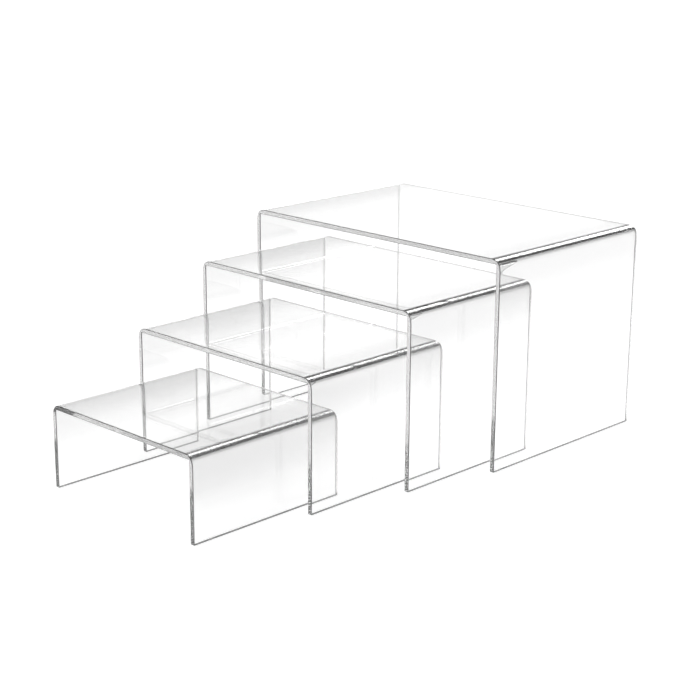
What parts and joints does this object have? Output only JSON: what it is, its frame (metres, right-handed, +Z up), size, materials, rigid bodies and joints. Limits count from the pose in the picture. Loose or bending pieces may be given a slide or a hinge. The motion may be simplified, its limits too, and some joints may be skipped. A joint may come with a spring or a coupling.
{
  "type": "tiered shelf riser",
  "caption": "Set of clear acrylic bridge risers of stepped sizes, each a sheet bent into an upside-down U, staggered as display tiers and nesting under one another.",
  "frame": {"origin": "middle of the set's footprint, on the surface it stands on", "axes": "+Z up, +Y towards the back from the lowest tier to the tallest, +X to the right seen from the front; the risers are centred on X = 0"},
  "size_m": [0.203, 0.329, 0.128],
  "materials": {
    "clear_acrylic": "clear cast acrylic sheet (PMMA), glossy faces, saw-cut and polished edges, two line bends"
  },
  "bodies": {
    "largest_riser": {"largest_riser": "clear_acrylic"},
    "third_riser": {"third_riser": "clear_acrylic"},
    "second_riser": {"second_riser": "clear_acrylic"},
    "smallest_riser": {"smallest_riser": "clear_acrylic"}
  },
  "joints": [
    {"name": "third_slide", "type": "slide", "parent": "largest_riser", "child": "third_riser", "axis": [0, 1, 0], "range_m": [-0.055, 0.059]},
    {"name": "second_slide", "type": "slide", "parent": "largest_riser", "child": "second_riser", "axis": [0, 1, 0], "range_m": [-0.05, 0.122]},
    {"name": "smallest_slide", "type": "slide", "parent": "largest_riser", "child": "smallest_riser", "axis": [0, 1, 0], "range_m": [-0.04, 0.195]}
  ]
}
